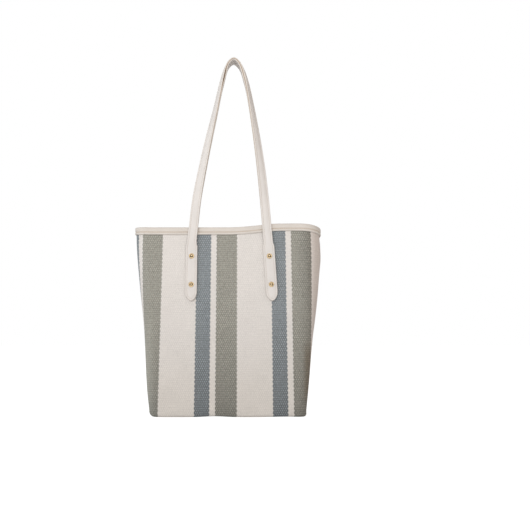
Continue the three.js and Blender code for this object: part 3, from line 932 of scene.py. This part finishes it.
def canvas_look():
    look = Look("striped_canvas", 0.9, Sheen_Weight=0.08, Sheen_Roughness=0.6, Specular_IOR_Level=0.3)
    u, v = look.cloth()
    flat = look.vector(u, v)

    def rising(spans):
        heights, tones = spans
        return look.ramp(v, *heights, *tones)

    # Stripes, with scalloped and ragged edges.
    ripple = look.times(look.wave(v, 2 * ROW_PITCH, math.pi / 2), 0.45)
    ragged = look.linear(look.noise(flat, 0.55), 0.7, -0.35)
    place = look.math("FLOORED_MODULO", look.sum(u, ripple, ragged, -STRIPE_START), STRIPE_REPEAT)
    blue = look.band(place, *BLUE_STRIPE, STRIPE_EDGE)
    green = look.band(place, *GREEN_STRIPE, STRIPE_EDGE)
    dyed = look.sum(blue, green)

    # Rows of weft, and floats along them that are staggered from row to row.
    loose_u = look.sum(u, look.linear(look.noise(flat, 0.16), 1.8, -0.9))
    loose_v = look.sum(v, look.linear(look.noise(flat, 0.13), 1.6, -0.8))
    row = look.wave(loose_v, ROW_PITCH, math.pi / 2)
    over = look.wave(loose_u, FLOAT_PITCH, math.pi / 2)
    staggered = look.times(over, look.wave(loose_v, 2 * ROW_PITCH, math.pi / 2))
    patchy = look.times(look.linear(look.noise(flat, 0.05, 2.0), 2.0, 0.0), rising(FLOAT_RISE))
    float_light = look.times(look.ramp(staggered, 0.2, 0.8), patchy)
    float_dark = look.ramp(staggered, -0.4, -0.9)
    weave = look.sum((float_light, 0.34), (float_dark, -0.22), (row, 0.09))
    weave = look.times(weave, look.linear(blue, 0.4, 1.0))

    # Single yarns, and slow and fast unevenness.
    grain = look.times(look.wave(u, WARP_PITCH), look.wave(v, WARP_PITCH, 1.0))
    warp = look.noise(look.vector(look.times(u, 1.6), look.times(v, 0.05)), 1.0, 2.0)
    weft = look.noise(look.vector(look.times(u, 0.05), look.times(v, 1.2)), 1.0, 2.0)
    uneven = look.noise(flat, 0.42, 2.0)
    mottle = look.noise(flat, 0.03, 3.0)
    fine = look.noise(flat, 1.6, 2.0)
    streaks = look.sum((warp, 0.14), (weft, 0.20), (mottle, 0.10), (fine, 0.16))

    cream_tone = look.sum(streaks, (uneven, 0.22), (weave, 0.20), 0.598)
    # Painted shade: the cream darker towards the bottom, and warmer low down.
    cream = look.toned(CREAM, look.times(cream_tone, rising(CREAM_HEIGHT_SHADE)))
    cream = look.tinted(rising(LOW_UP), cream, LOW_SHADE)

    rubbed = look.linear(look.noise(flat, 0.30, 3.0, 0.8), 1.05, -0.525)
    # Painted light and shade by height: the dyed stripes darker towards the bottom and lighter near the top.
    dyed_tone = look.times(look.sum((streaks, 1.1), (uneven, 0.5), rubbed, weave, 0.432), rising(DYED_HEIGHT_SHADE))
    # Painted light: the dyed stripes lighter at the left end, low down.
    left = look.times(look.ramp(u, *LEFT_LIGHT_ACROSS), rising(LEFT_PAINTED_LIGHT))
    # Painted shade: the dyed stripes darker at the right end.
    right = look.times(look.ramp(u, *RIGHT_SHADE_ACROSS), rising(RIGHT_PAINTED_SHADE))
    # Painted shade: the dyed stripes darker at the bottom edge.
    dyed_tone = look.sum(dyed_tone, left, right, rising(FOOT_SHADE))
    cooler = look.ramp(look.noise(flat, 0.7, 2.0), 0.35, 0.65)
    dye = look.tinted(cooler, look.mix(green, BLUE, GREEN), DYE_SHIFT)

    colour = look.mix(dyed, cream, look.toned(dye, dyed_tone))
    colour = look.tinted(look.ramp(u, *SIDE_ACROSS), colour, SIDE_SHADE)
    # Painted shade: a brown band in the crease of the right corner.
    corner = look.times(look.band(u, *CORNER_SHADE_ACROSS), look.band(v, *CORNER_SHADE_UP))
    colour = look.tinted(corner, colour, CORNER_SHADE)

    relief = look.times(look.linear(dyed, 0.7, 0.3), look.sum((staggered, 0.5), (row, 0.2), 0.25))
    height = look.sum((grain, 0.18), relief, (fine, 0.4), (warp, 0.3), (weft, 0.4))
    return look.paint(colour, look.linear(mottle, 0.12, 0.82), height, 0.00035, 0.8)


def plain_cloth_look(name, colour, pitch, cloth=True):
    look = Look(name, 0.85, Sheen_Weight=0.1, Sheen_Roughness=0.5)
    u, v = look.cloth() if cloth else look.split(look.place())[::2]
    grain = look.times(look.wave(u, pitch), look.wave(v, pitch))
    slub = look.noise(look.vector(look.times(u, 0.06), look.times(v, 1.2)), 1.0, 2.0)
    mottle = look.noise(look.vector(u, v), 0.09, 3.0)
    colour = look.toned(colour, look.sum((grain, 0.04), (slub, 0.14), (mottle, 0.12), 0.87))
    return look.paint(colour, look.linear(mottle, 0.15, 0.78), look.sum((grain, 0.5), slub), 0.00015, 0.7)


def leather(look, colour, mottle_scale):
    """Grain and mottle of smooth coated leather, and its colour."""
    where = look.place()
    grain = look.sum((look.cells(where, 0.85, "SMOOTH_F1"), 0.7), (look.noise(where, 0.35, 4.0), 0.6))
    mottle = look.noise(where, mottle_scale, 3.0)
    return grain, mottle, look.toned(colour, look.sum((mottle, 0.14), (grain, 0.05), 0.905))


STRAP_COLOUR = (0.700, 0.665, 0.635)
STRAP_HANDLED = (0.93, 0.88, 0.82)
STRAP_EDGE = (0.610, 0.545, 0.480)
STRAP_GLUE = (0.330, 0.240, 0.170)
# The glue line shows most near the crown.
GLUE_FADE = ((45.0, 110.0), (1.0, 0.3))
BINDING_COLOUR = (0.648, 0.600, 0.550)
BINDING_SHADE = (0.520, 0.430, 0.350)
# The stitched groove, which is painted with shade, by distance over the binding's profile.
BINDING_GROOVE = (4.3, 5.9, 0.5)


def strap_look():
    """Smooth pale leather. Cloth x is the distance from the middle of the painted edge, over the face."""
    look = Look("strap_leather", 0.5, Specular_IOR_Level=0.4)
    around, along = look.cloth()
    grain, mottle, face = leather(look, STRAP_COLOUR, 0.05)
    off = look.math("ABSOLUTE", around)
    edge = look.ramp(off, 0.75, 1.25, 1.0, 0.0)
    from_crown = look.math("ABSOLUTE", look.math("SUBTRACT", along, Strap("front").length / 2))
    near, strength = GLUE_FADE
    glue = look.times(look.ramp(off, 0.2, 0.6, 1.0, 0.0), look.ramp(from_crown, *near, *strength))
    face = look.tinted(look.ramp(off, 0.6, 3.0, 0.5, 0.0), face, STRAP_HANDLED)
    colour = look.mix(glue, look.mix(edge, face, STRAP_EDGE), STRAP_GLUE)
    return look.paint(colour, look.linear(mottle, 0.18, 0.42), grain, 0.00006, 0.5)


def binding_look():
    """The same leather, warmer, with painted shade in the stitched groove and a painted shadow under the
    outer lip. Cloth y runs over the profile.
    """
    look = Look("binding_leather", 0.55, Specular_IOR_Level=0.4)
    _, girth = look.cloth()
    grain, mottle, face = leather(look, BINDING_COLOUR, 0.06)
    groove = look.times(look.band(girth, *BINDING_GROOVE), 0.75)
    # Painted shadow under the outer lip, at the start of the profile.
    foot = look.ramp(girth, 0.4, 1.3, 0.42, 0.0)
    colour = look.mix(look.math("MAXIMUM", groove, foot), face, BINDING_SHADE)
    return look.paint(colour, look.linear(mottle, 0.18, 0.46), grain, 0.00012, 0.6)


def thread_look(name, colour):
    look = Look(name, 0.7, Sheen_Weight=0.1)
    ply = look.noise(look.place(), 2.2, 2.0)
    return look.paint(look.toned(colour, look.linear(ply, 0.3, 0.82)), None, ply, 0.0001, 0.6)


def brass_look():
    look = Look("brass", 0.2, Metallic=1.0)
    where = look.place()
    smudge = look.noise(where, 0.4, 3.0)
    drawn = look.add("ShaderNodeVectorMath", where, (1.0, 1.0, 9.0), operation="MULTIPLY").outputs[0]
    scratch = look.noise(drawn, 1.0, 3.0)
    colour = look.mix(smudge, (0.76, 0.58, 0.34), (0.86, 0.69, 0.46))
    return look.paint(colour, look.sum((smudge, 0.14), (scratch, 0.08), 0.10), scratch, 0.00003, 0.3)


def board_look():
    look = Look("fibre_board", 0.85)
    fibres = look.noise(look.place(), 0.5, 5.0, 0.7)
    colour = look.mix(fibres, (0.16, 0.12, 0.08), (0.30, 0.23, 0.16))
    return look.paint(colour, look.linear(fibres, 0.2, 0.7), fibres, 0.0002, 0.5)


# ---- the pieces

canvas = canvas_look()
lining = plain_cloth_look("lining_cloth", (0.70, 0.64, 0.56), 0.6)
patch_cloth = plain_cloth_look("patch_cloth", (0.80, 0.77, 0.72), 0.8, cloth=False)
strap_material = strap_look()
binding_material = binding_look()
strap_thread = thread_look("strap_thread", (0.65, 0.585, 0.52))
binding_thread = thread_look("binding_thread", (0.66, 0.58, 0.48))
brass = brass_look()
board = board_look()

BAG = "bag"

for panel, side in HALVES:
    shell = half_shell(f"{panel}_canvas", canvas, panel, 0.0, CANVAS, CANVAS_FOOT, 0.0)
    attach(shell, BAG)
    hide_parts(f"{panel}_panel")
    inside = half_shell(
        f"{panel}_lining_cloth", lining, panel, LINING_INSET, LINING, LINING_FILLET, LINING_FLOOR,
        flare=lining_inset, folds=1.3,
    )
    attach(inside, BAG)
    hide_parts(f"{panel}_lining")

binding = rim_binding(binding_material)
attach(binding, BAG)
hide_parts("rim_binding")
rim_thread = rim_stitches(binding_thread)
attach(rim_thread, BAG)

for panel, side in HALVES:
    body = f"{panel}_handle"
    strap = Strap(panel)
    band = strap_leather(f"{panel}_strap", strap_material, strap, side)
    sewn = strap_stitches(f"{panel}_strap_stitches", strap_thread, strap, side)
    for piece in (band, sewn):
        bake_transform(piece)
    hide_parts(body, f"{panel}_tab_left", f"{panel}_tab_right")
    for hand in TABS[panel]:
        for level, height in zip(("upper", "lower"), RIVET_HEIGHTS):
            node = f"{panel}_rivet_{hand}_{level}"
            cap = rivet(f"{node}_cap", brass, panel, hand, height, side)
            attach(cap, BAG)
            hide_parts(node)

for name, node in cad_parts.items():
    if node.hide_render:
        continue
    look = brass if "backing" in name else patch_cloth if "patch" in name else board
    node.data.materials.clear()
    node.data.materials.append(look)

# ---- studio

# The floor: its paint, and how strongly it glows for the camera, for light that it bounces (near the bag and
# far from it) and for mirrored rays.
FLOOR_REACH = 9.0
FLOOR_TONE = 0.42
FLOOR_GLOW = 0.84
FLOOR_BOUNCE = (80.0, 1100.0, 0.25, 0.95)
FLOOR_SHEEN_REACH = (220.0, 380.0)
FLOOR_SHEEN = (0.70, 0.02)
FLOOR_UNMIRRORED = (0.0, 0.95)
# The world's light: its strength, that of its mirror image, and its colour at the left and at the right.
WORLD_STRENGTH = 0.79
WORLD_MIRRORED = 0.5
WORLD_LEFT = (1.08, 1.11, 1.14)
WORLD_RIGHT = (0.60, 0.51, 0.44)
WORLD_SPREAD = (-0.8, 0.9)
WHITE = (1, 1, 1)
# The dark card, in metres: half its width, its lowest and highest edge and its distance.
CARD = (2.6, -0.05, 0.50, 2.0)


def staged(name, corners, look):
    """A flat sheet of the studio."""
    mesh = bpy.data.meshes.new(name)
    mesh.from_pydata(corners, [], [(0, 1, 2, 3)])
    mesh.materials.append(look.material)
    sheet = bpy.data.objects.new(name, mesh)
    bpy.context.scene.collection.objects.link(sheet)
    return sheet


def studio_floor():
    """Pale. It glows for the eye, so that it meets the backdrop without a line, and by other amounts for the
    light that it sends to the bag and for what shiny pieces mirror."""
    look = Look("floor_paint", 0.9)
    path = look.add("ShaderNodeLightPath").outputs
    away = look.add("ShaderNodeVectorMath", look.place(), operation="LENGTH").outputs["Value"]
    unseen = look.times(path["Is Glossy Ray"], look.ramp(away, *FLOOR_SHEEN_REACH, *FLOOR_UNMIRRORED))
    tone = look.linear(look.noise(look.place(), 0.01, 3.0), 0.02, FLOOR_TONE)
    tone = look.times(tone, look.math("SUBTRACT", 1.0, unseen))
    look.paint(look.vector(tone, tone, tone))
    glow = look.sum(
        (path["Is Camera Ray"], FLOOR_GLOW),
        (path["Is Diffuse Ray"], look.ramp(away, *FLOOR_BOUNCE)),
        (path["Is Glossy Ray"], look.ramp(away, *FLOOR_SHEEN_REACH, *FLOOR_SHEEN)),
    )
    look.fill(look.shader, Emission_Color=(*WHITE, 1), Emission_Strength=glow)
    corners = [(x * FLOOR_REACH, y * FLOOR_REACH, 0) for x, y in ((-1, -1), (1, -1), (1, 1), (-1, 1))]
    staged("floor", corners, look)


def dark_card():
    """A dark studio wall behind the camera that only shiny pieces see."""
    look = Look("card_cloth", 0.95)
    tone = look.linear(look.noise(look.place(), 0.01, 3.0), 0.02, 0.02)
    look.paint(look.vector(tone, tone, tone))
    half, low, high, away = CARD
    corners = [(-half, -away, low), (half, -away, low), (half, -away, high), (-half, -away, high)]
    card = staged("dark_card", corners, look)
    card.visible_camera = False
    card.visible_diffuse = False
    card.visible_shadow = False


def soft_box(name, azimuth, elevation, distance, size, power, colour=WHITE, mirrored=True):
    """A soft light that faces the bag. Azimuth 0 is in front of it, positive to the right."""
    lamp = bpy.data.lights.new(name, "AREA")
    lamp.shape = "RECTANGLE"
    lamp.size, lamp.size_y = size
    lamp.energy = power
    lamp.color = colour
    light = bpy.data.objects.new(name, lamp)
    light.visible_glossy = mirrored
    a, e = math.radians(azimuth), math.radians(elevation)
    back = Vector((math.sin(a) * math.cos(e), -math.cos(a) * math.cos(e), math.sin(e)))
    light.location = Vector(BAG_MIDDLE) + back * distance
    light.rotation_mode = "QUATERNION"
    light.rotation_quaternion = (-back).to_track_quat("-Z", "Y")
    bpy.context.scene.collection.objects.link(light)


def studio_world():
    """White to look at. As a light it is soft, brighter on the left, and dimmer and warmer on the right."""
    world = bpy.data.worlds.new("studio")
    world.use_nodes = True
    bpy.context.scene.world = world
    light = Nodes(world.node_tree)
    path = light.add("ShaderNodeLightPath").outputs
    seen, mirrored = path["Is Camera Ray"], path["Is Glossy Ray"]
    strength = light.linear(seen, 1.0 - WORLD_STRENGTH, WORLD_STRENGTH)
    strength = light.times(strength, light.linear(mirrored, WORLD_MIRRORED - 1.0, 1.0))
    direction = light.add("ShaderNodeTexCoord").outputs["Generated"]
    place = light.add("ShaderNodeMapRange", light.split(direction)[0], *WORLD_SPREAD).outputs[0]
    tint = light.mix(place, WORLD_LEFT, WORLD_RIGHT)
    light.fill(light.tree.nodes["Background"], Strength=strength, Color=light.mix(seen, tint, WHITE))


BAG_MIDDLE = (0, 0, 0.17)
CAMERA_DISTANCE = 1.2
CAMERA_HEIGHT = 0.108
CAMERA_PITCH = 5.0
CAMERA_LENS = 56.3
CAMERA_SHIFT = 0.0702


def studio_camera():
    lens = bpy.data.cameras.new("camera")
    lens.sensor_width = 36.0
    lens.lens = CAMERA_LENS
    lens.shift_x = CAMERA_SHIFT
    lens.clip_start = 0.05
    lens.clip_end = 50.0
    camera = bpy.data.objects.new("camera", lens)
    camera.location = (0, -CAMERA_DISTANCE, CAMERA_HEIGHT)
    camera.rotation_euler = (math.radians(90 + CAMERA_PITCH), 0, 0)
    bpy.context.scene.collection.objects.link(camera)
    bpy.context.scene.camera = camera


studio_floor()
dark_card()
studio_world()
studio_camera()
soft_box("key", -28, 26, 1.4, (0.40, 0.40), 3.7, (1.0, 1.0, 0.995), mirrored=False)
soft_box("front", 6, 16, 1.7, (1.3, 0.62), 4.4, (1.0, 0.97, 0.94))
bpy.context.scene.view_settings.view_transform = "Standard"
